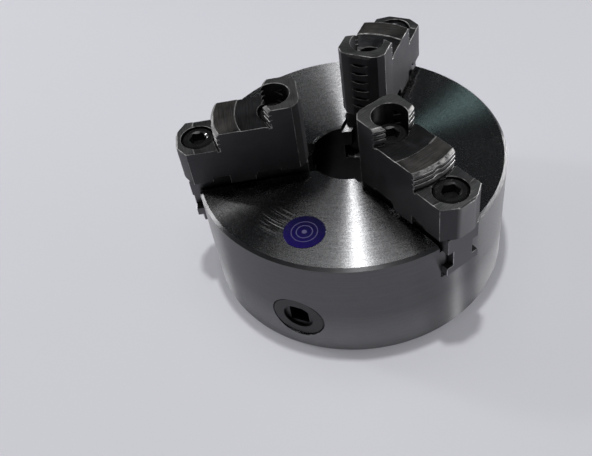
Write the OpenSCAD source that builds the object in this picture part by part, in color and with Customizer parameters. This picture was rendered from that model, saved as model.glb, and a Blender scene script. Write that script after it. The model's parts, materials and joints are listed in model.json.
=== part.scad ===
// Three-jaw self-centring scroll chuck with two-piece stepped jaws. Millimetres.
// The origin is on the spindle axis at the rear mounting face and +Z points out of the jaw face.

/* [Body] */
// Outside radius of the body
body_r = 80; // [79.5:0.25:81]
// Distance from the rear face to the jaw face
body_t = 65; // [65:0.25:66]
// Radius of the bore along the spindle axis
bore_r = 20; // [19:0.25:20.2]
// Chamfer round the edge of the jaw face
face_chamfer = 1.5; // [1:0.25:2]
// Radius of the register recess in the rear face
register_r = 65; // [64.9:0.05:65.1]
// Depth of the register recess
register_depth = 5; // [4.5:0.25:5]

/* [Jaws] */
// Distance of each jaw nose from the spindle axis in the drawn pose
nose_u = 21; // [20.5:0.25:21.5]
// Half of the width of a top jaw
jaw_half_w = 12.4; // [12:0.1:12.6]
// Height of the highest jaw step above the jaw face
step_high = 44.5; // [44:0.25:45]
// Height of the middle jaw step above the jaw face
step_mid = 35.4; // [35:0.2:35.8]
// Height of the lowest jaw step above the jaw face
step_low = 26; // [25.6:0.2:26.4]
// Underside of the top jaws above the jaw face
jaw_under = 5.8; // [5.8:0.1:6]
// Radius of the counterbores over the jaw screws
counterbore_r = 8.6; // [8.4:0.05:8.8]

/* [Drive] */
// Pitch of the scroll spiral, which is the jaw travel in one turn of the scroll
pitch = 8; // [8:0.01:8.02]
// Across flats of the square key sockets
key_af = 10; // [9.5:0.25:10.5]
// Depth of the square key sockets
key_depth = 15; // [14:0.5:16]

/* [Screws] */
// Thread radius of the jaw screws
screw_r = 5; // [4.9:0.05:5]
// Head radius of the jaw screws
screw_head_r = 8; // [7.8:0.1:8.1]
// Across flats of the hexagon sockets in the jaw screws
screw_key_af = 8; // [7.5:0.25:8.5]

/* [Label] */
// Radius of the round label on the jaw face
label_r = 10.3; // [10:0.1:10.5]
// Thickness of the label
label_t = 0.35; // [0.3:0.05:0.4]

/* [Hidden] */
eps = 0.01;
jaw_angles = [-30, 90, 210];
pinion_angles = [-90, 30, 150];
fine = 96;
medium = 48;
coarse = 32;

// Rear cover and scroll chamber
cover_top = 12;
cover_seat_r = register_r - 0.7;
cover_r = cover_seat_r - 0.1;
cover_bore_r = 20.4;
cover_screw_r = 1.5;
chamber_r = 58.2;
chamber_top = 46.7;
hub_r = 28;
cover_screw_ring = 61;
cover_screw_angles = [-50, -10, 70, 110, 190, 230];
cover_head_r = 2.75;
cover_head_z = register_depth + 0.2;
cover_head_h = 3;
cover_screw_h = 12.5;
cover_key_af = 2.5;
cover_key_depth = 1.4;

// T-section jaw slots, half widths and levels
mouth_half = 10.9;
mouth_floor = body_t - 4;
neck_half = 6.15;
wide_top = 51.5;
wide_half = 10;
wide_floor = 42;

// Rear fixing holes
bolt_ring = 71;
bolt_tap_r = 3.4;
bolt_depth = 18;
retainer_ring = 72;
retainer_r = 3;
retainer_dog_r = 2;
retainer_hole_top = 9.5;
retainer_dog_top = 10.5;
retainer_under = 0.6;
retainer_shoulder = 8;
retainer_key_af = 3;
retainer_key_depth = 3;

// Scroll plate
scroll_bore_r = 28.05;
scroll_r = 57.7;
scroll_collar_r = 40;
scroll_under = 34.2;
scroll_root = 42;
scroll_top = 46.3;
thread_w = 3.8;
thread_first_r = 32.4;
thread_quarters = 11;
flank_gap = 0.16;

// Bevel gears share an apex on the spindle axis
gear_apex_z = 23;
crown_teeth = 60;
pinion_teeth = 10;
gear_in = 42;
gear_out = 52;
crown_out = gear_out - 0.4;
gear_tilt = atan(pinion_teeth / crown_teeth);
gear_pressure = 25;
addendum = 0.85;
dedendum = 1.2;
gear_m_out = 2 * gear_out / crown_teeth;

// Pinions
head_r = 13.95;
head_in = 66.2;
head_out = 79.2;
head_hole_r = 14;
neck_hole_r = 10.9;
neck_r = 9;
groove_r = 12;
groove_in = 69.4;
groove_out = 74.6;
end_recess_r = 7.9;
end_recess_depth = 1.6;

// Jaws, lengths along the jaw from the spindle axis
top_len = 64.5;
nose_half = 4.9;
facet_len = 5;
screw_in_u = nose_u + 13.3;
screw_out_u = screw_in_u + 40;
seat_in = 23.5;
seat_out = 15.5;
screw_head_h = 10;
master_in = 22;
master_out = 83.4;
master_flange_half = 9.4;
master_web_half = 6.05;
master_wide_half = 9.85;
master_wide_top = 51.35;
master_wide_under = 46.6;
tooth_tip = 42.3;
tongue_in = 49;
tongue_out = 62;
tongue_under = 2.9;
jaw_reach = 20;
high_wall_u = nose_u + 19.4;
high_wall_r = 26.3;
low_wall_u = nose_u + 45.2;
low_wall_r = 36;
high_edge_break = 1.3;
low_edge_break = 1.5;
ridge_depth = 1;
high_ridges = [step_high - 3.1, step_high - 5.9];
low_ridges = [step_mid - 3.3, step_mid - 6.1];
nose_groove_depth = 0.9;
nose_groove_reach = 9;
nose_grooves = [13 : 5.2 : 39];
relief_in = nose_u + 15;
relief_out = nose_u + 27;
relief_top = jaw_under + 1.4;
notch_out = nose_u + 49.5;
notch_top = jaw_under + 2.5;

// Jaw screws
screw_end = master_wide_top - 2;
socket_depth = 5;
socket_flare = 1.1;
socket_flare_depth = 0.7;

// Label
label_ring = 59.2;
label_edge = 0.15;

// A solid of revolution about Z from an outline of [radius, height] points.
module turned(outline, facets = fine) {
    rotate_extrude($fn = facets)
        polygon(outline);
}

// A cylinder lying along +X from x0 to x1 at height z.
module bar_x(r, x0, x1, z, facets = medium) {
    translate([x0, 0, z])
        rotate([0, 90, 0])
            cylinder(r = r, h = x1 - x0, $fn = facets);
}

// A block centred on y = 0.
module block(x0, x1, half, z0, z1) {
    translate([x0, -half, z0])
        cube([x1 - x0, 2 * half, z1 - z0]);
}

// A hexagonal prism for socket recesses.
module hex_prism(af, h) {
    cylinder(r = af / sqrt(3), h = h, $fn = 6);
}

// ---- Body ----

module body_blank() {
    turned([[bore_r, cover_top + 0.5], [bore_r + 0.5, cover_top], [hub_r, cover_top],
        [hub_r, chamber_top], [chamber_r, chamber_top], [chamber_r, cover_top],
        [cover_seat_r, cover_top], [cover_seat_r, register_depth], [register_r, register_depth],
        [register_r, 0.6], [register_r + 0.6, 0],
        [body_r - 1, 0], [body_r, 1], [body_r, body_t - face_chamfer],
        [body_r - face_chamfer, body_t], [bore_r + 1, body_t], [bore_r, body_t - 1]]);
}

module jaw_slot() {
    out = body_r + 5;
    block(8, out, mouth_half, mouth_floor, body_t + 5);
    block(8, out, neck_half, wide_top - 1, mouth_floor + 1);
    block(8, out, wide_half, wide_floor, wide_top);
}

module pinion_hole() {
    bar_x(neck_hole_r, chamber_r - 3, head_in, gear_apex_z);
    bar_x(head_hole_r, head_in - 0.1, body_r + 5, gear_apex_z, 64);
}

module chuck_body() {
    color([0.55, 0.56, 0.58])
    difference() {
        body_blank();
        for (a = jaw_angles)
            rotate([0, 0, a]) {
                jaw_slot();
                translate([bolt_ring, 0, -eps])
                    cylinder(r = bolt_tap_r, h = bolt_depth, $fn = coarse);
            }
        for (a = pinion_angles)
            rotate([0, 0, a]) {
                pinion_hole();
                translate([retainer_ring, 0, -eps])
                    cylinder(r = retainer_r + 0.05, h = retainer_hole_top, $fn = coarse);
            }
        for (a = cover_screw_angles)
            rotate([0, 0, a])
                translate([cover_screw_ring, 0, cover_top - 1])
                    cylinder(r = cover_screw_r + 0.05, h = 10, $fn = 16);
    }
}

// ---- Rear cover ----

module back_cover() {
    color([0.42, 0.43, 0.45])
    difference() {
        turned([[cover_bore_r, register_depth + 0.4], [cover_bore_r + 0.4, register_depth],
            [cover_r - 0.2, register_depth], [cover_r, register_depth + 0.2],
            [cover_r, cover_top], [cover_bore_r, cover_top]]);
        for (a = cover_screw_angles)
            rotate([0, 0, a])
                translate([cover_screw_ring, 0, 0]) {
                    cylinder(r = cover_screw_r + 0.1, h = cover_top + 1, $fn = 16);
                    cylinder(r = cover_head_r + 0.1, h = cover_head_z + cover_head_h, $fn = 24);
                }
    }
}

module cover_screw() {
    difference() {
        union() {
            translate([0, 0, cover_head_z])
                cylinder(r = cover_head_r, h = cover_head_h, $fn = 24);
            translate([0, 0, cover_head_z + cover_head_h - 0.2])
                cylinder(r = cover_screw_r, h = cover_screw_h, $fn = 16);
        }
        translate([0, 0, cover_head_z - 1])
            hex_prism(cover_key_af, cover_key_depth + 1);
    }
}

module back_cover_screws() {
    color([0.14, 0.14, 0.15])
    for (a = cover_screw_angles)
        rotate([0, 0, a])
            translate([cover_screw_ring, 0, 0])
                cover_screw();
}

// ---- Scroll plate ----

// Quarter-turn arcs on four centres, which follow a spiral of constant pitch.
module scroll_thread() {
    centres = [[-pitch / 8, pitch / 8], [-pitch / 8, -pitch / 8],
        [pitch / 8, -pitch / 8], [pitch / 8, pitch / 8]];
    for (k = [0 : thread_quarters])
        translate([centres[k % 4][0], centres[k % 4][1], 0])
            rotate([0, 0, 90 * k])
                rotate_extrude(angle = 90, $fn = fine)
                    translate([thread_first_r + k * pitch / 4 - thread_w / 2, scroll_root - 0.5])
                        square([thread_w, scroll_top - scroll_root + 0.5]);
}

module crown_gap() {
    half = PI * gear_m_out / 4 + 0.2;
    up = dedendum * gear_m_out;
    down = 4;
    slope = tan(gear_pressure);
    translate([0, 0, gear_apex_z])
        rotate([0, 90 - gear_tilt, 0])
            translate([0, 0, scroll_collar_r + 0.8])
                linear_extrude(height = gear_out + 2.5 - scroll_collar_r)
                    polygon([[-up, half - up * slope], [down, half + down * slope],
                        [down, -half - down * slope], [-up, -half + up * slope]]);
}

module scroll_plate() {
    tip_in = gear_apex_z + gear_in / 6 - addendum * gear_in / 30;
    tip_out = gear_apex_z + crown_out / 6 - addendum * crown_out / 30;
    color([0.5, 0.51, 0.53])
    union() {
        difference() {
            turned([[scroll_bore_r, 12.6], [scroll_bore_r + 0.3, 12.3], [scroll_collar_r, 12.3],
                [scroll_collar_r, scroll_under], [gear_in, scroll_under], [gear_in, tip_in],
                [crown_out, tip_out], [crown_out, scroll_under], [scroll_r - 0.6, scroll_under],
                [scroll_r, scroll_under + 0.6], [scroll_r, scroll_root], [scroll_bore_r, scroll_root]]);
            for (i = [0 : crown_teeth - 1])
                rotate([0, 0, i * 360 / crown_teeth])
                    crown_gap();
        }
        scroll_thread();
    }
}

// ---- Pinions ----

// Involute of a circle of radius b at roll angle t in degrees.
function involute(b, t) = [b * (cos(t) + t * PI / 180 * sin(t)), b * (sin(t) - t * PI / 180 * cos(t))];
function turn2(p, a) = [p[0] * cos(a) - p[1] * sin(a), p[0] * sin(a) + p[1] * cos(a)];
function roll_at(b, r) = sqrt(pow(r / b, 2) - 1) * 180 / PI;
function flank_angle(b, r) = roll_at(b, r) - acos(b / r);

// Outline of the pinion teeth where the module is m, with the first tooth on +X.
function pinion_outline(m) =
    let (rp = m * pinion_teeth / 2, rb = rp * cos(gear_pressure), ra = rp + addendum * m,
        rf = rp - dedendum * m + 0.15, tooth = 90 / pinion_teeth - 1.4 + flank_angle(rb, rp),
        rolls = [for (j = [0 : 4]) roll_at(rb, ra) * j / 4])
    [for (i = [0 : pinion_teeth - 1]) each concat(
        [turn2([rf, 0], i * 360 / pinion_teeth - tooth)],
        [for (t = rolls) turn2(involute(rb, t), i * 360 / pinion_teeth - tooth)],
        [for (j = [4 : -1 : 0]) let (p = involute(rb, rolls[j]))
            turn2([p[0], -p[1]], i * 360 / pinion_teeth + tooth)],
        [turn2([rf, 0], i * 360 / pinion_teeth + tooth)])];

module pinion() {
    translate([0, 0, gear_apex_z])
        rotate([0, 90, 0])
            difference() {
                union() {
                    translate([0, 0, gear_in])
                        rotate([0, 0, 180])
                            linear_extrude(height = gear_out - gear_in, scale = gear_out / gear_in)
                                polygon(pinion_outline(2 * gear_in / crown_teeth));
                    turned([[0, gear_out - eps], [neck_r, gear_out - eps], [neck_r, head_in],
                        [head_r, head_in], [head_r, groove_in], [groove_r, groove_in],
                        [groove_r, groove_out], [head_r, groove_out], [head_r, head_out - 1],
                        [head_r - 1, head_out], [0, head_out]], 64);
                }
                translate([0, 0, head_out - end_recess_depth])
                    cylinder(r = end_recess_r, h = 5, $fn = medium);
                translate([-key_af / 2, -key_af / 2, head_out - end_recess_depth - key_depth])
                    cube([key_af, key_af, key_depth + 5]);
            }
}

module placed_pinion(i) {
    color([0.45, 0.46, 0.48])
    rotate([0, 0, pinion_angles[i - 1]])
        pinion();
}

module pinion_1() {
    placed_pinion(1);
}

module pinion_2() {
    placed_pinion(2);
}

module pinion_3() {
    placed_pinion(3);
}

module pinion_retainer(i) {
    color([0.14, 0.14, 0.15])
    rotate([0, 0, pinion_angles[i - 1]])
        translate([retainer_ring, 0, 0])
            difference() {
                turned([[0, retainer_under], [retainer_r - 0.3, retainer_under],
                    [retainer_r, retainer_under + 0.3], [retainer_r, retainer_shoulder],
                    [retainer_dog_r, retainer_shoulder + 0.4],
                    [retainer_dog_r, retainer_dog_top], [0, retainer_dog_top]], coarse);
                hex_prism(retainer_key_af, retainer_under + retainer_key_depth);
            }
}

module pinion_retainer_1() {
    pinion_retainer(1);
}

module pinion_retainer_2() {
    pinion_retainer(2);
}

module pinion_retainer_3() {
    pinion_retainer(3);
}

// ---- Jaws ----

// One scroll tooth: a crescent whose flanks clear the spiral at every radius.
module jaw_tooth(r) {
    outer_flank = thread_first_r - pitch / 8 - thread_w / 2 - 0.4;
    inner_flank = thread_first_r + (thread_quarters + 0.5) * pitch / 4 + thread_w / 2 + 0.4;
    half_t = (pitch - thread_w) / 2 - flank_gap;
    lean = pitch / (2 * PI);
    intersection() {
        block(r - 6, r + 6, master_wide_half, tooth_tip, master_wide_under + 0.5);
        difference() {
            translate([r + half_t - outer_flank, lean, tooth_tip])
                cylinder(r = outer_flank, h = 6, $fn = fine);
            translate([r - half_t - inner_flank, lean, tooth_tip - 1])
                cylinder(r = inner_flank, h = 8, $fn = 128);
        }
    }
}

// Mean radius of the groove between spiral turns at an azimuth in degrees, n turns out.
function groove_r_at(a, n) =
    thread_first_r - pitch / 8 + pitch / 2 + pitch * ((a + 360) % 360 / 360 + n) - 0.035;

module master_jaw(i) {
    a = jaw_angles[i - 1];
    color([0.36, 0.37, 0.39])
    rotate([0, 0, a])
        union() {
            difference() {
                union() {
                    block(master_in, master_out, master_flange_half,
                        mouth_floor + 0.1, body_t + jaw_under);
                    block(master_in, master_out, master_web_half, master_wide_top - 1, mouth_floor + 1);
                    block(master_in, master_out, master_wide_half, master_wide_under, master_wide_top);
                }
                block(tongue_in - 0.02, tongue_out + 0.02, jaw_reach,
                    body_t + tongue_under - 0.05, body_t + 10);
                for (u = [screw_in_u, screw_out_u])
                    translate([u, 0, master_wide_under - 1])
                        cylinder(r = screw_r + 0.02, h = 40, $fn = medium);
            }
            for (n = [-1 : 5])
                if (groove_r_at(a, n) > master_in + 2.2 && groove_r_at(a, n) < master_out - 2.2)
                    jaw_tooth(groove_r_at(a, n));
        }
}

module master_jaw_1() {
    master_jaw(1);
}

module master_jaw_2() {
    master_jaw(2);
}

module master_jaw_3() {
    master_jaw(3);
}

// Ring with a V section that cuts a groove of depth d into a wall of radius r.
module v_ring(r, d) {
    turned([[r + 2, -d * 0.4 - 1.1], [r - d, 0], [r + 2, d * 0.4 + 1.1]], 64);
}

// Cone that breaks the top edge of a wall of radius r at z = 0 by the amount c.
module edge_break(r, c) {
    turned([[r - c, 1], [r - c, 0], [r + 1, -c - 1], [r + 12, -c - 1], [r + 12, 1]], 64);
}

// Disc with a V edge that cuts a lens-shaped groove of depth d into a flat at x = 0.
module v_disc(d, reach) {
    translate([d - reach, 0, 0])
        turned([[reach - 2, -1.7], [reach, 0], [reach - 2, 1.7]], medium);
}

// Half of the jaw's plan outline, from the nose to the outer end, with softened facets.
function jaw_side(x0, x1, half, flat_half, facet) = [
    [x0, flat_half - 1], [x0 + 0.3, flat_half + 0.4], [x0 + facet * 0.36, half - facet * 0.56],
    [x0 + facet, half], [x1 - facet, half], [x1 - 1.3, flat_half + 2], [x1 - 0.4, flat_half + 0.3],
    [x1, flat_half - 1.4]];

module jaw_plan(x0, x1, half, flat_half, facet) {
    side = jaw_side(x0, x1, half, flat_half, facet);
    polygon(concat(side, [for (i = [len(side) - 1 : -1 : 0]) [side[i][0], -side[i][1]]]));
}

// Everything outside a vertical cylinder of radius r whose outermost point is at x = u.
module beyond(u, r, z0) {
    difference() {
        block(u - 10, nose_u + top_len + 5, jaw_reach, z0, 60);
        translate([u - r, 0, z0 - 1])
            cylinder(r = r, h = 70, $fn = fine);
    }
}

// Arc-shaped slit of width w whose outermost point on the inner side is at x = u.
module arc_slit(u, r, w, z0, z1) {
    intersection() {
        block(u - 12, u + 8, jaw_reach, z0, z1);
        translate([u - r, 0, z0 - 1])
            difference() {
                cylinder(r = r + w, h = z1 - z0 + 2, $fn = fine);
                translate([0, 0, -1])
                    cylinder(r = r, h = z1 - z0 + 4, $fn = fine);
            }
    }
}

// Wedge-shaped arc that opens the mouth of a slit up to the level z1.
module arc_mouth(u, r, w, z0, z1) {
    intersection() {
        block(u - 12, u + 12, jaw_reach, z0, z1 + 1);
        translate([u - r, 0, 0])
            turned([[r - 0.3, z0], [r + 0.5, z0], [r + w, z1],
                [r + w, z1 + 0.5], [r - 0.3, z1 + 0.5]]);
    }
}

// Shallow recess between the arc at the foot of a wall and an outer arc at x = u.
module arc_recess(wall_u, wall_r, u, r, z0) {
    difference() {
        intersection() {
            block(wall_u - 8, u + 1, jaw_reach, z0, z0 + 1);
            translate([u - r, 0, z0 - 1])
                cylinder(r = r, h = 4, $fn = fine);
        }
        translate([wall_u - wall_r, 0, z0 - 2])
            cylinder(r = wall_r, h = 6, $fn = fine);
    }
}

module top_jaw_blank() {
    far = nose_u + top_len;
    intersection() {
        union() {
            translate([0, 0, jaw_under])
                linear_extrude(height = step_high - jaw_under)
                    jaw_plan(nose_u, far, jaw_half_w, nose_half, facet_len);
            block(tongue_in, tongue_out, jaw_half_w, tongue_under, jaw_under + 1);
        }
        translate([0, jaw_half_w + 1, 0])
            rotate([90, 0, 0])
                linear_extrude(height = 2 * jaw_half_w + 2)
                    polygon([[nose_u, tongue_under], [far, tongue_under], [far, step_low - 0.8],
                        [far - 0.8, step_low], [far - 6, step_high], [nose_u + 1, step_high],
                        [nose_u, step_high - 2]]);
    }
}

module top_jaw(i) {
    color([0.24, 0.245, 0.26])
    rotate([0, 0, jaw_angles[i - 1]])
        translate([0, 0, body_t])
            difference() {
                top_jaw_blank();
                beyond(high_wall_u, high_wall_r, step_mid);
                beyond(low_wall_u, low_wall_r, step_low);
                translate([high_wall_u - high_wall_r, 0, step_high])
                    edge_break(high_wall_r, high_edge_break);
                translate([low_wall_u - low_wall_r, 0, step_mid])
                    edge_break(low_wall_r, low_edge_break);
                arc_slit(high_wall_u - 0.5, high_wall_r - 0.5, 1.1, step_mid - 1.5, step_mid + 0.8);
                arc_mouth(high_wall_u, high_wall_r, 3.6, step_mid - 1, step_mid);
                arc_slit(low_wall_u - 0.5, low_wall_r - 0.5, 1.2, step_low - 1.4, step_low + 0.8);
                arc_recess(high_wall_u, high_wall_r, nose_u + 33, low_wall_r, step_mid - 0.3);
                arc_recess(low_wall_u, low_wall_r, nose_u + 56.5, 60, step_low - 0.25);
                for (z = high_ridges)
                    translate([high_wall_u - high_wall_r, 0, z])
                        v_ring(high_wall_r, ridge_depth);
                for (z = low_ridges)
                    translate([low_wall_u - low_wall_r, 0, z])
                        v_ring(low_wall_r, ridge_depth);
                for (z = nose_grooves)
                    translate([nose_u, 0, z])
                        mirror([1, 0, 0])
                            v_disc(nose_groove_depth, nose_groove_reach);
                translate([screw_in_u, 0, seat_in])
                    cylinder(r = counterbore_r, h = 40, $fn = medium);
                translate([screw_out_u, 0, seat_out])
                    cylinder(r = counterbore_r, h = 40, $fn = medium);
                for (u = [screw_in_u, screw_out_u])
                    translate([u, 0, -1])
                        cylinder(r = screw_r + 0.4, h = 30, $fn = medium);
                block(relief_in, relief_out, jaw_reach, 0, relief_top);
                block(tongue_out, notch_out, jaw_reach, 0, notch_top);
            }
}

module top_jaw_1() {
    top_jaw(1);
}

module top_jaw_2() {
    top_jaw(2);
}

module top_jaw_3() {
    top_jaw(3);
}

// ---- Jaw screws ----

module jaw_screw(i, u, seat) {
    top = body_t + seat + screw_head_h;
    mouth_r = screw_key_af / 2 + socket_flare;
    color([0.1, 0.1, 0.11])
    rotate([0, 0, jaw_angles[i - 1]])
        translate([u, 0, 0])
            difference() {
                turned([[0, screw_end], [screw_r - 1, screw_end], [screw_r, screw_end + 1],
                    [screw_r, body_t + seat], [screw_head_r, body_t + seat],
                    [screw_head_r, top - 1], [screw_head_r - 1, top], [0, top]], medium);
                translate([0, 0, top - socket_depth])
                    hex_prism(screw_key_af, socket_depth + 1);
                translate([0, 0, top - socket_flare_depth])
                    cylinder(r1 = screw_key_af / 2, r2 = mouth_r, h = socket_flare_depth + eps,
                        $fn = medium);
            }
}

module jaw_screw_inner_1() {
    jaw_screw(1, screw_in_u, seat_in);
}

module jaw_screw_inner_2() {
    jaw_screw(2, screw_in_u, seat_in);
}

module jaw_screw_inner_3() {
    jaw_screw(3, screw_in_u, seat_in);
}

module jaw_screw_outer_1() {
    jaw_screw(1, screw_out_u, seat_out);
}

module jaw_screw_outer_2() {
    jaw_screw(2, screw_out_u, seat_out);
}

module jaw_screw_outer_3() {
    jaw_screw(3, screw_out_u, seat_out);
}

// ---- Label ----

module face_label() {
    color([0.2, 0.2, 0.55])
    rotate([0, 0, pinion_angles[0]])
        translate([label_ring, 0, body_t])
            turned([[0, 0], [label_r, 0], [label_r, label_t - 0.1],
                [label_r - label_edge, label_t], [0, label_t]], 64);
}

chuck_body();
back_cover();
back_cover_screws();
scroll_plate();
pinion_1();
pinion_2();
pinion_3();
pinion_retainer_1();
pinion_retainer_2();
pinion_retainer_3();
master_jaw_1();
master_jaw_2();
master_jaw_3();
top_jaw_1();
top_jaw_2();
top_jaw_3();
jaw_screw_inner_1();
jaw_screw_inner_2();
jaw_screw_inner_3();
jaw_screw_outer_1();
jaw_screw_outer_2();
jaw_screw_outer_3();
face_label();
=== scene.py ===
"""Looks for the three-jaw lathe chuck: steel finishes, edge wear with painted highlights, face
label, light and camera.
"""

import json
import math

import bpy
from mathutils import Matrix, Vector

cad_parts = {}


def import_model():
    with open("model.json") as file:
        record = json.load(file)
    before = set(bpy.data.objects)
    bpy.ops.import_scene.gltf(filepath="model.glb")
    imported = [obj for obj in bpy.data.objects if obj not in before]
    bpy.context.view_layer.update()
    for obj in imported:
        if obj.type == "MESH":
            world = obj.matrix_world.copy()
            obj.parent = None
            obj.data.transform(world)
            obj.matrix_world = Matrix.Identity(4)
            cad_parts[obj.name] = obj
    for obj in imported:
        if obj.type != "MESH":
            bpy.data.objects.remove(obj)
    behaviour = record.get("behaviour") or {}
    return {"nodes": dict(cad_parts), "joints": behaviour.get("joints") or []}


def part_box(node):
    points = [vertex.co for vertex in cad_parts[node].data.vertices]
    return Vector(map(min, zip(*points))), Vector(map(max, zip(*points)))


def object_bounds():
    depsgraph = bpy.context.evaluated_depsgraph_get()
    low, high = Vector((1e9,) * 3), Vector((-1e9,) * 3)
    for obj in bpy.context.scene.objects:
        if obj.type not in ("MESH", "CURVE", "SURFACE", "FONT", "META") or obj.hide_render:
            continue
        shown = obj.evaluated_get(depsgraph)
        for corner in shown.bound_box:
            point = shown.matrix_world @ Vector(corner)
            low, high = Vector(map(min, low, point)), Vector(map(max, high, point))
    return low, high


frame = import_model()
CAD_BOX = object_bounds()
NODES = frame["nodes"]
JAWS = (1, 2, 3)

# Places on the chuck, in metres. U is measured along a jaw, outwards from the spindle axis.
LABEL_LOW, LABEL_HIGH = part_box("face_label")
LABEL_CENTRE = (LABEL_LOW + LABEL_HIGH) / 2
LABEL_R = (LABEL_HIGH.x - LABEL_LOW.x) / 2
FACE_Z = LABEL_LOW.z
BODY_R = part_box("chuck_body")[1].x
BORE_R = 0.02
# Heights over which the rim's painted floor reflection fades out.
RIM_REFLECTION_FADE_Z = (0.004, 0.03)
RIM_WALL_Z = (0.0011, FACE_Z - 0.0018)
RIM_WALL_R = (BODY_R - 0.00012, BODY_R - 0.00008)
HIGH_Z = CAD_BOX[1].z
MID_Z = FACE_Z + 0.0354
LOW_Z = HIGH_Z - 0.0185
MID_SPLIT_U, MID_ARC_R = 0.054, 0.036
LOW_SPLIT_U, LOW_ARC_R = 0.0775, 0.06
STEP_CHAMFER_DEEP = 0.0014
HEX_FLARE_R = (0.0035, 0.0053)

# Base colours. A pair is the darkest and the lightest of a mottled tone.
FACE_TONES = ((0.2, 0.202, 0.21), (0.5, 0.502, 0.51))
FACE_CHAMFER_TONE = (0.15, 0.15, 0.154)
STAIN_TONE = (0.16, 0.15, 0.14)
SCRATCH_TONE = (0.85, 0.85, 0.86)
RIM_TONES = ((0.1, 0.1, 0.104), (0.2, 0.2, 0.206))
# Lighter tone of the rim's foot, a painted reflection of the floor.
RIM_FLOOR_REFLECTION_TONES = ((0.2, 0.2, 0.204), (0.36, 0.36, 0.366))
# Near-black tone of the bore wall, painted shade inside the hole.
BORE_SHADE_TONES = ((0.02, 0.02, 0.021), (0.06, 0.059, 0.058))
COVER_TONES = ((0.25, 0.25, 0.26), (0.45, 0.45, 0.46))
SCROLL_TONES = ((0.3, 0.3, 0.31), (0.5, 0.5, 0.51))
PINION_TONES = ((0.03, 0.03, 0.032), (0.075, 0.074, 0.078))
TOP_JAW_TONE = (0.055, 0.054, 0.058)
# Painted light: faces that look outwards along a top jaw, such as its outer end, get this lighter
# tone.
TOP_JAW_LIT_END_TONE = (0.17, 0.168, 0.172)
# Edge tones: worn steel, made brighter as a painted highlight.
TOP_JAW_EDGE_TONE = (0.5, 0.495, 0.49)
MASTER_JAW_TONE = (0.1, 0.1, 0.104)
MASTER_JAW_EDGE_TONE = (0.4, 0.4, 0.41)
HIGH_STEP_TONE = (0.1, 0.1, 0.1)
MID_STEP_INNER_TONE = (0.035, 0.035, 0.037)
MID_STEP_OUTER_TONE = (0.078, 0.074, 0.072)
LOW_STEP_INNER_TONE = (0.05, 0.05, 0.052)
LOW_STEP_TONE = (0.09, 0.09, 0.092)
# Tone of the worn chamfers and arc lines on each top jaw; it differs by jaw as a painted highlight.
WEAR_AND_HIGHLIGHT_TONES = {1: (0.5, 0.49, 0.48), 2: (0.3, 0.294, 0.288), 3: (0.1, 0.098, 0.096)}
OXIDE_TONES = ((0.012, 0.012, 0.013), (0.035, 0.034, 0.036))
# Painted highlight on the flare round a screw's hexagon socket.
HEX_FLARE_HIGHLIGHT_TONE = (0.045, 0.045, 0.047)
# The label's lighter front edge is a painted sheen.
FILM_LIT_FRONT_TONE = (0.011, 0.004, 0.12)
FILM_BACK_TONE = (0.005, 0.004, 0.03)
FILM_CLOUD_TONE = (0.02, 0.02, 0.06)
FILM_RING_TONE = (0.36, 0.34, 0.55)
FLOOR_TONES = ((0.60, 0.60, 0.645), (0.63, 0.63, 0.675))
FLOOR_GLOW_TONE = (0.6, 0.6, 0.65, 1.0)

# Rings printed on the label, as inner and outer share of its radius, with the softness of each.
LABEL_RINGS = ((0.6, 0.635, 0.012), (0.36, 0.4, 0.012), (-1.0, 0.12, 0.01))

SHARP_DEGREES = 22.0
EDGE_DEGREES = 35.0
WELD_REACH = 1e-6
TOP_JAW_EDGE, MASTER_JAW_EDGE, PINION_EDGE = 0.00022, 0.00025, 0.0002
EDGE_SLOT = 1
LEAST_R = 1e-4

# Data type of a Mix node, with the numbers of its A, B and result sockets.
MIX_COLOUR = ("RGBA", 6, 7, 2)
MIX_VECTOR = ("VECTOR", 4, 5, 1)

WHITE = (1.0, 1.0, 1.0)
TEAL = (0.66, 1.0, 0.97)
BODY_AIM_Z, RIM_AIM_Z = 0.06, 0.03
# Name, azimuth and elevation in degrees, distance, width and height, watts, colour, and the height
# of the point on the spindle axis that it faces.
LIGHTS = (
    ("key", 116, 88, 1.4, (0.06, 0.06), 8.5, WHITE, BODY_AIM_Z),
    ("soft_top", 116, 88, 1.4, (1.1, 1.1), 4.0, WHITE, BODY_AIM_Z),
    ("window", 95, 31, 1.6, (0.14, 0.14), 0.17, TEAL, BODY_AIM_Z),
    ("left_window", 181, 31, 1.6, (0.14, 0.14), 3.0, WHITE, BODY_AIM_Z),
    ("right_side", 41, 1.5, 1.2, (1.3, 0.1), 13.0, WHITE, RIM_AIM_Z),
    ("rim_streak", -5, 2, 1.2, (0.12, 0.1), 2.0, WHITE, RIM_AIM_Z),
    ("left_side", 177, 4, 1.2, (1.0, 0.25), 8.0, WHITE, RIM_AIM_Z),
)
SKY_COLOUR, SKY_STRENGTH = (0.9, 0.95, 1.0, 1.0), 0.03
FLOOR_SIZE, FLOOR_GLOW = 8.0, 0.24

CAMERA_PLACE = (0.1284, -0.2791, 0.3425)
CAMERA_TURN_DEGREES = (42.478, 6.972, 23.536)
CAMERA_LENS_MM, CAMERA_SENSOR_MM = 48.1, 36.0
CAMERA_CLIP = (0.01, 20.0)


# ---------------------------------------------------------------- node helpers


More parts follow.
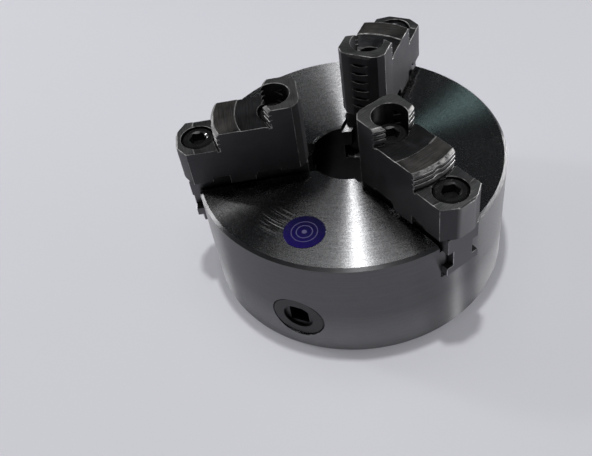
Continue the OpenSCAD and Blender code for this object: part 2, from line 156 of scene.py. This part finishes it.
class Paint:
    """One node material. Most methods add nodes and return an output socket."""

    def __init__(self, name):
        self.material = bpy.data.materials.new(name)
        self.material.use_nodes = True
        self.tree = self.material.node_tree
        self.tree.nodes.clear()
        self.out = self.tree.nodes.new("ShaderNodeOutputMaterial")
        coords = self.tree.nodes.new("ShaderNodeTexCoord")
        self.here = coords.outputs["Object"]
        self.x, self.y, self.z = self.node("ShaderNodeSeparateXYZ", Vector=self.here).outputs
        self.r = self.length(self.x, self.y)
        facing = self.node("ShaderNodeSeparateXYZ", Vector=coords.outputs["Normal"])
        self.face_x, self.face_y, self.up = facing.outputs

    def node(self, kind, **inputs):
        made = self.tree.nodes.new(kind)
        for name, value in inputs.items():
            self.put(made.inputs[name.replace("_", " ")], value)
        return made

    def put(self, socket, value):
        if isinstance(value, bpy.types.NodeSocket):
            self.tree.links.new(value, socket)
        elif value is not None:
            socket.default_value = value

    def op(self, name, a, b=None):
        made = self.tree.nodes.new("ShaderNodeMath")
        made.operation = name
        self.put(made.inputs[0], a)
        self.put(made.inputs[1], b)
        return made.outputs[0]

    def plus(self, a, b):
        return self.op("ADD", a, b)

    def less(self, a, b):
        return self.op("SUBTRACT", a, b)

    def times(self, a, b):
        return self.op("MULTIPLY", a, b)

    def over(self, a, b):
        return self.op("DIVIDE", a, b)

    def length(self, a, b):
        return self.op("SQRT", self.plus(self.times(a, a), self.times(b, b)))

    def blend(self, a, share_a, b, share_b):
        return self.plus(self.times(a, share_a), self.times(b, share_b))

    def vector(self, x, y, z):
        made = self.tree.nodes.new("ShaderNodeCombineXYZ")
        for socket, value in zip(made.inputs, (x, y, z)):
            self.put(socket, value)
        return made.outputs[0]

    def noise(self, where, scale=1.0, detail=2.0, rough=0.6):
        made = self.node("ShaderNodeTexNoise", Vector=where, Scale=scale, Detail=detail,
                         Roughness=rough)
        return made.outputs["Fac"]

    def remap(self, value, low, high, to_low=0.0, to_high=1.0):
        made = self.tree.nodes.new("ShaderNodeMapRange")
        for socket, v in zip(made.inputs, (value, low, high, to_low, to_high)):
            self.put(socket, v)
        return made.outputs[0]

    def band(self, value, low, high, soft=0.0002):
        """1 where value lies between low and high, with soft edges."""
        rise = self.remap(value, low - soft, low + soft)
        fall = self.remap(value, high + soft, high - soft)
        return self.times(rise, fall)

    def mix_values(self, sockets, amount, a, b):
        data_type, slot_a, slot_b, result = sockets
        made = self.tree.nodes.new("ShaderNodeMix")
        made.data_type = data_type
        self.put(made.inputs[0], amount)
        self.put(made.inputs[slot_a], a)
        self.put(made.inputs[slot_b], b)
        return made.outputs[result]

    def mix(self, amount, a, b):
        """Blends two tones, each a socket or a plain red, green and blue."""
        a, b = ((*tone, 1.0) if isinstance(tone, tuple) else tone for tone in (a, b))
        return self.mix_values(MIX_COLOUR, amount, a, b)

    def rings(self, spacing, round_rate):
        """Coordinates for marks that run round the spindle axis, on faces and on the rim alike."""
        reach = self.op("MAXIMUM", self.r, LEAST_R)
        return self.vector(
            self.over(self.plus(self.r, self.z), spacing),
            self.times(self.over(self.x, reach), round_rate),
            self.times(self.over(self.y, reach), round_rate),
        )

    def bump(self, height, distance, strength, below=None):
        made = self.node("ShaderNodeBump", Height=height, Strength=strength, Distance=distance)
        self.put(made.inputs["Normal"], below)
        return made.outputs[0]

    def shade(self, colour, rough, normal=None, metallic=1.0, tangent=None, **fixed):
        bsdf = self.tree.nodes.new("ShaderNodeBsdfPrincipled")
        self.put(bsdf.inputs["Base Color"], colour)
        self.put(bsdf.inputs["Roughness"], rough)
        self.put(bsdf.inputs["Metallic"], metallic)
        self.put(bsdf.inputs["Normal"], normal)
        self.put(bsdf.inputs["Tangent"], tangent)
        for name, value in fixed.items():
            bsdf.inputs[name.replace("_", " ")].default_value = value
        self.tree.links.new(bsdf.outputs[0], self.out.inputs[0])
        return self.material

    def round_tangent(self):
        made = self.tree.nodes.new("ShaderNodeTangent")
        made.direction_type, made.axis = "RADIAL", "Z"
        return made.outputs[0]

    def rim_normal(self):
        """The true radial normal on the turned rim, and the mesh's own normal elsewhere."""
        on_rim = self.times(self.remap(self.r, *RIM_WALL_R), self.band(self.z, *RIM_WALL_Z, 0.0001))
        radial = self.vector(self.over(self.x, self.r), self.over(self.y, self.r), 0.0)
        geometry = self.tree.nodes.new("ShaderNodeNewGeometry")
        return self.mix_values(MIX_VECTOR, on_rim, geometry.outputs["Normal"], radial)


class JawPaint(Paint):
    """A material in the frame of one jaw: u runs outwards along its slide, and v across it."""

    def __init__(self, name, index):
        super().__init__(f"{name}_{index}")
        joint = next(j for j in frame["joints"] if j["name"] == f"jaw_slide_{index}")
        ax, ay, _ = joint["axis"]
        self.u = self.blend(self.x, ax, self.y, ay)
        self.v = self.less(self.times(self.y, ax), self.times(self.x, ay))
        self.outward = self.blend(self.face_x, ax, self.face_y, ay)

    def grain(self, u_size, v_size, z_size, rough):
        """Noise drawn out to these sizes along the jaw, across it and up it."""
        where = self.vector(self.over(self.u, u_size), self.over(self.v, v_size),
                            self.over(self.z, z_size))
        return self.noise(where, detail=3.0, rough=rough)

    def arc(self, reach, radius):
        """Distance outside an arc of this radius whose outermost point is at u = reach."""
        return self.less(self.length(self.less(self.u, reach - radius), self.v), radius)


# ---------------------------------------------------------------- materials


def label_scratches(p):
    """Faint light scratches on the face, beside the label."""
    marks = p.noise(p.rings(0.0005, 2.2), detail=1.0, rough=0.5)
    beside = p.times(
        p.band(p.x, LABEL_CENTRE.x - 2.1 * LABEL_R, LABEL_CENTRE.x - 0.8 * LABEL_R, 0.004),
        p.band(p.y, LABEL_CENTRE.y - 0.5 * LABEL_R, LABEL_CENTRE.y + 0.9 * LABEL_R, 0.003))
    return p.times(p.remap(marks, 0.58, 0.68, 0.0, 0.6), beside)


def ground_body():
    """Ground face and turned rim: marks run round the axis, so highlights fan out across them."""
    p = Paint("ground_body")
    fine = p.noise(p.rings(0.00022, 5.0), detail=3.0, rough=0.7)
    wide = p.noise(p.rings(0.0011, 2.5))
    grain = p.noise(p.rings(0.00045, 9.0), detail=4.0, rough=0.7)
    patch = p.noise(p.here, scale=22.0, detail=3.0)
    stain = p.remap(p.noise(p.here, scale=55.0, detail=3.0), 0.66, 0.78)
    speckle = p.noise(p.here, scale=1700.0)
    scratches = label_scratches(p)

    tone = p.plus(p.blend(fine, 0.3, patch, 0.3), p.remap(grain, 0.25, 0.75, 0.0, 0.4))
    face = p.mix(tone, *FACE_TONES)
    face = p.mix(p.times(stain, 0.35), face, STAIN_TONE)
    face = p.mix(p.times(scratches, 0.8), face, SCRATCH_TONE)
    rim = p.mix(p.blend(tone, 0.6, wide, 0.4), *RIM_TONES)
    # Painted reflection of the floor: the rim is lighter towards its foot.
    rim = p.mix(p.remap(p.z, *RIM_REFLECTION_FADE_Z), p.mix(tone, *RIM_FLOOR_REFLECTION_TONES), rim)
    # Painted shade: the bore wall is near black.
    wall = p.mix(p.remap(p.r, BORE_R * 1.02, BORE_R * 1.3), p.mix(patch, *BORE_SHADE_TONES), rim)
    on_face = p.remap(p.up, 0.8, 0.95)
    colour = p.mix(on_face, wall, face)
    colour = p.mix(p.band(p.up, 0.55, 0.85, 0.05), colour, FACE_CHAMFER_TONE)

    rough = p.plus(p.remap(wide, 0.3, 0.7, 0.21, 0.235), p.times(patch, 0.04))
    rough = p.plus(rough, p.remap(grain, 0.3, 0.7, -0.006, 0.009))
    rough = p.plus(rough, p.remap(speckle, 0.35, 0.65, -0.02, 0.055))
    rough = p.plus(rough, p.times(scratches, 0.2))
    rough = p.plus(rough, p.times(p.less(1.0, on_face), 0.06))
    normal = p.bump(fine, 0.000008, 0.35, p.bump(wide, 0.000015, 0.3, p.rim_normal()))
    return p.shade(colour, rough, normal, metallic=p.less(1.0, scratches),
                   tangent=p.round_tangent(), Anisotropic=1.0, Anisotropic_Rotation=0.25)


def edge_steel(name, colour, rough, metallic, gaps):
    """Bright, slightly nicked steel where an edge has been broken or worn, made brighter as a
    painted highlight.
    """
    p = Paint(name)
    grain = p.noise(p.here, scale=900.0, detail=3.0, rough=0.7)
    wear_and_highlight = p.noise(p.here, scale=150.0, detail=4.0, rough=0.75)
    dark = tuple(c * 0.2 for c in colour)
    tone = p.mix(p.remap(wear_and_highlight, gaps - 0.08, gaps + 0.1), dark, colour)
    return p.shade(tone, p.remap(grain, 0.2, 0.8, rough - 0.06, rough + 0.12),
                   p.bump(grain, 0.00002, 0.4), metallic=metallic)


def step_tones(p, index, brush, cloud):
    """Colour of a top jaw's steps, the lower two split by an arc, with brush marks, stains and a
    painted highlight.
    """
    wear_and_highlight = WEAR_AND_HIGHLIGHT_TONES[index]
    mid_arc = p.arc(MID_SPLIT_U, MID_ARC_R)
    low_arc = p.arc(LOW_SPLIT_U, LOW_ARC_R)
    middle = p.mix(p.remap(mid_arc, -0.0006, 0.0002), MID_STEP_INNER_TONE, MID_STEP_OUTER_TONE)
    # Painted highlight along the middle step's arc line, patchy like wear.
    near_arc = p.times(p.band(mid_arc, -0.0004, 0.0003, 0.0003), p.remap(cloud, 0.42, 0.55))
    middle = p.mix(near_arc, middle, wear_and_highlight)
    lowest = p.mix(p.remap(low_arc, -0.0006, 0.0002), LOW_STEP_INNER_TONE, LOW_STEP_TONE)
    plan = p.mix(p.remap(p.z, HIGH_Z - 0.006, HIGH_Z - 0.004), middle, HIGH_STEP_TONE)
    plan = p.mix(p.remap(p.z, LOW_Z + 0.004, LOW_Z + 0.006), lowest, plan)
    wear = p.times(p.remap(brush, 0.35, 0.65, 0.72, 1.35), p.remap(cloud, 0.3, 0.7, 0.65, 1.35))
    scaled = p.node("ShaderNodeVectorMath", Vector=plan)
    scaled.operation = "SCALE"
    p.put(scaled.inputs["Scale"], wear)
    return scaled.outputs[0]


def worn_and_lit_step_chamfers(p):
    """Where the chamfers round the high and the middle step are worn, and lightened as a painted
    highlight.
    """
    nicks = p.noise(p.here, scale=260.0, detail=3.0, rough=0.65)
    by_step = p.op("MAXIMUM", p.band(p.z, HIGH_Z - STEP_CHAMFER_DEEP, HIGH_Z),
                   p.band(p.z, MID_Z - STEP_CHAMFER_DEEP, MID_Z))
    sloping = p.times(p.band(p.up, 0.45, 0.85, 0.05), by_step)
    return p.times(sloping, p.remap(nicks, 0.36, 0.6))


def jaw_steel(name, index, side, rough, end=None):
    """Hardened dark jaw steel. A top jaw, which has an end tone of painted light, also gets its
    ground steps.
    """
    p = JawPaint(name, index)
    lines = p.grain(0.012, 0.0004, 0.0004, 0.65)
    brush = p.grain(0.0005, 0.009, 0.0005, 0.7)
    cloud = p.noise(p.here, scale=60.0, detail=4.0, rough=0.65)
    grit = p.noise(p.here, scale=1400.0)
    top = p.remap(p.up, 0.75, 0.95)
    colour = p.mix(p.blend(lines, 0.5, cloud, 0.5),
                   tuple(c * 0.6 for c in side), tuple(c * 1.45 for c in side))
    if end is not None:
        # Painted light: faces that look outwards along the jaw are lightened to the end tone.
        colour = p.mix(p.remap(p.outward, 0.9, 0.98), colour, end)
        colour = p.mix(top, colour, step_tones(p, index, brush, cloud))
        # Worn step chamfers, brightened as a painted highlight.
        colour = p.mix(worn_and_lit_step_chamfers(p), colour, WEAR_AND_HIGHLIGHT_TONES[index])
    finish = p.plus(p.remap(cloud, 0.3, 0.7, rough - 0.06, rough + 0.08), p.times(grit, 0.08))
    marks = p.bump(p.mix(top, lines, brush), 0.00002, 0.4)
    return p.shade(colour, finish, p.bump(grit, 0.00001, 0.4, marks))


def black_oxide(name, centre=None):
    """Oiled black steel, with a faint painted highlight on the flare round a screw's hexagon at
    centre.
    """
    p = Paint(name)
    cloud = p.noise(p.here, scale=180.0, detail=3.0)
    grit = p.noise(p.here, scale=2200.0)
    colour = p.mix(cloud, *OXIDE_TONES)
    if centre is not None:
        d = p.length(p.less(p.x, centre.x), p.less(p.y, centre.y))
        # Painted highlight on the flare round the hexagon.
        flare_highlight = p.times(p.band(d, *HEX_FLARE_R), p.band(p.up, 0.6, 0.97, 0.02))
        colour = p.mix(flare_highlight, colour, HEX_FLARE_HIGHLIGHT_TONE)
    return p.shade(colour, p.remap(cloud, 0.3, 0.7, 0.2, 0.34), p.bump(grit, 0.00001, 0.3),
                   metallic=0.6, Coat_Weight=1.0, Coat_Roughness=0.1)


def machined(name, tones, rough, aniso):
    """Plain machined steel with turning marks round the spindle axis."""
    p = Paint(name)
    fine = p.noise(p.rings(0.00035, 4.0), detail=3.0, rough=0.7)
    cloud = p.noise(p.here, scale=45.0, detail=4.0)
    return p.shade(p.mix(p.blend(fine, 0.5, cloud, 0.5), *tones),
                   p.remap(cloud, 0.3, 0.7, rough - 0.05, rough + 0.08),
                   p.bump(fine, 0.00002, 0.5), tangent=p.round_tangent(),
                   Anisotropic=aniso, Anisotropic_Rotation=0.25)


def film_label():
    """Glossy printed film: dark violet disc with plain concentric rings, lighter at the front as a
    painted sheen.
    """
    p = Paint("film_label")
    dx, dy = p.less(p.x, LABEL_CENTRE.x), p.less(p.y, LABEL_CENTRE.y)
    d = p.over(p.length(dx, dy), LABEL_R)
    outer, middle, dot = (p.band(d, *ring) for ring in LABEL_RINGS)
    print_mask = p.op("MAXIMUM", p.op("MAXIMUM", outer, middle), dot)
    cloud = p.noise(p.here, scale=400.0, detail=3.0)
    # Painted sheen: the label is lighter towards its front edge.
    ground = p.mix(p.remap(dy, -LABEL_R, LABEL_R), FILM_LIT_FRONT_TONE, FILM_BACK_TONE)
    ground = p.mix(p.times(cloud, 0.25), ground, FILM_CLOUD_TONE)
    colour = p.mix(p.times(print_mask, 0.35), ground, FILM_RING_TONE)
    return p.shade(colour, p.remap(cloud, 0.3, 0.7, 0.16, 0.24), p.bump(cloud, 0.00003, 0.3),
                   metallic=0.0, Coat_Weight=0.6, Coat_Roughness=0.08)


# ---------------------------------------------------------------- the chuck's own pieces


def dress(node, *materials):
    mesh = NODES[node].data
    mesh.materials.clear()
    for material in materials:
        mesh.materials.append(material)


def smooth_by_angle():
    """Modifier group that shades smooth, except across edges that turn sharply."""
    group = bpy.data.node_groups.new("smooth_by_angle", "GeometryNodeTree")
    for side in ("INPUT", "OUTPUT"):
        group.interface.new_socket("Geometry", in_out=side, socket_type="NodeSocketGeometry")
    add = group.nodes.new
    start, end = add("NodeGroupInput"), add("NodeGroupOutput")
    plain = add("GeometryNodeRemoveAttribute")
    plain.inputs["Name"].default_value = "custom_normal"
    smooth = add("GeometryNodeSetShadeSmooth")
    sharp = add("GeometryNodeSetShadeSmooth")
    sharp.domain = "EDGE"
    sharp.inputs["Shade Smooth"].default_value = False
    turn = add("GeometryNodeInputMeshEdgeAngle")
    steep = add("FunctionNodeCompare")
    steep.operation = "GREATER_THAN"
    steep.inputs[1].default_value = math.radians(SHARP_DEGREES)
    link = group.links.new
    for giver, taker in ((start, plain), (plain, smooth), (smooth, sharp), (sharp, end)):
        link(giver.outputs[0], taker.inputs[0])
    link(turn.outputs["Unsigned Angle"], steep.inputs[0])
    link(steep.outputs[0], sharp.inputs["Selection"])
    return group


SMOOTHER = smooth_by_angle()


def weld(ob, name):
    ob.modifiers.new(name, "WELD").merge_threshold = WELD_REACH


def soften(node):
    """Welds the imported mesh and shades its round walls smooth."""
    weld(NODES[node], "weld")
    NODES[node].modifiers.new("normals", "NODES").node_group = SMOOTHER


def break_edges(node, width, clamp=True):
    """As soften, and also chamfers the sharp edges a little, so that they catch the light."""
    ob = NODES[node]
    weld(ob, "weld")
    bevel = ob.modifiers.new("edges", "BEVEL")
    bevel.width, bevel.segments = width, 1
    bevel.limit_method, bevel.angle_limit = "ANGLE", math.radians(EDGE_DEGREES)
    bevel.use_clamp_overlap = clamp
    bevel.material = EDGE_SLOT
    weld(ob, "weld_chamfers")
    ob.modifiers.new("normals", "NODES").node_group = SMOOTHER


def dress_jaw(index, top_edge, master_edge):
    top, master = f"top_jaw_{index}", f"master_jaw_{index}"
    dress(top, jaw_steel("top_jaw", index, TOP_JAW_TONE, 0.46, TOP_JAW_LIT_END_TONE), top_edge)
    break_edges(top, TOP_JAW_EDGE, clamp=False)
    dress(master, jaw_steel("master_jaw", index, MASTER_JAW_TONE, 0.33), master_edge)
    break_edges(master, MASTER_JAW_EDGE)
    for kind in ("inner", "outer"):
        screw = f"jaw_screw_{kind}_{index}"
        low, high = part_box(screw)
        dress(screw, black_oxide(f"screw_{kind}_{index}", (low + high) / 2))
        soften(screw)


def dress_chuck():
    # Chamfered edges: worn steel, brightened as a painted highlight.
    top_edge = edge_steel("jaw_edge", TOP_JAW_EDGE_TONE, 0.42, metallic=0.4, gaps=0.5)
    master_edge = edge_steel("master_edge", MASTER_JAW_EDGE_TONE, 0.35, metallic=1.0, gaps=0.45)
    oxide = black_oxide("black_oxide")
    dress("chuck_body", ground_body())
    soften("chuck_body")
    dress("back_cover", machined("cover_steel", COVER_TONES, 0.34, 0.5))
    soften("back_cover")
    dress("scroll_plate", machined("scroll_steel", SCROLL_TONES, 0.3, 0.5))
    dress("back_cover_screws", oxide)
    dress("face_label", film_label())
    for index in JAWS:
        dress_jaw(index, top_edge, master_edge)
        pinion = f"pinion_{index}"
        dress(pinion, machined(f"pinion_steel_{index}", PINION_TONES, 0.4, 0.0), master_edge)
        break_edges(pinion, PINION_EDGE)
        dress(f"pinion_retainer_{index}", oxide)


# ---------------------------------------------------------------- floor, light and camera


def floor():
    """Pale floor that glows faintly round the chuck, but not beneath it, so a painted shadow rings
    its foot.
    """
    bpy.ops.mesh.primitive_plane_add(size=FLOOR_SIZE, location=(0, 0, CAD_BOX[0].z))
    plane = bpy.context.object
    plane.name = "floor"
    p = Paint("floor")
    tone = p.mix(p.noise(p.here, scale=3.0, rough=0.5), *FLOOR_TONES)
    material = p.shade(tone, 0.9, metallic=0.0, Emission_Color=FLOOR_GLOW_TONE)
    bsdf = p.out.inputs[0].links[0].from_node
    # The glow fades out near the chuck, a painted shadow round its foot.
    p.put(bsdf.inputs["Emission Strength"],
          p.remap(p.r, BODY_R * 0.75, BODY_R * 1.05, 0.0, FLOOR_GLOW))
    plane.data.materials.append(material)


def area_light(name, azimuth, elevation, distance, size, power, colour, aim_z):
    data = bpy.data.lights.new(name, "AREA")
    data.shape, data.size, data.size_y = "RECTANGLE", size[0], size[1]
    data.energy, data.color = power, colour
    ob = bpy.data.objects.new(name, data)
    a, e = math.radians(azimuth), math.radians(elevation)
    away = Vector((math.cos(a) * math.cos(e), math.sin(a) * math.cos(e), math.sin(e)))
    ob.location = Vector((0, 0, aim_z)) + away * distance
    ob.rotation_euler = away.to_track_quat("Z", "Y").to_euler()
    bpy.context.scene.collection.objects.link(ob)


def world():
    studio = bpy.data.worlds.new("studio")
    studio.use_nodes = True
    back = studio.node_tree.nodes["Background"]
    back.inputs[0].default_value = SKY_COLOUR
    back.inputs[1].default_value = SKY_STRENGTH
    bpy.context.scene.world = studio


def camera():
    data = bpy.data.cameras.new("camera")
    data.lens, data.sensor_width = CAMERA_LENS_MM, CAMERA_SENSOR_MM
    data.clip_start, data.clip_end = CAMERA_CLIP
    ob = bpy.data.objects.new("camera", data)
    ob.location = CAMERA_PLACE
    ob.rotation_euler = tuple(math.radians(turn) for turn in CAMERA_TURN_DEGREES)
    bpy.context.scene.collection.objects.link(ob)
    bpy.context.scene.camera = ob


dress_chuck()
floor()
world()
for light in LIGHTS:
    area_light(*light)
bpy.context.scene.view_settings.view_transform = "Standard"
camera()

bpy.context.view_layer.update()
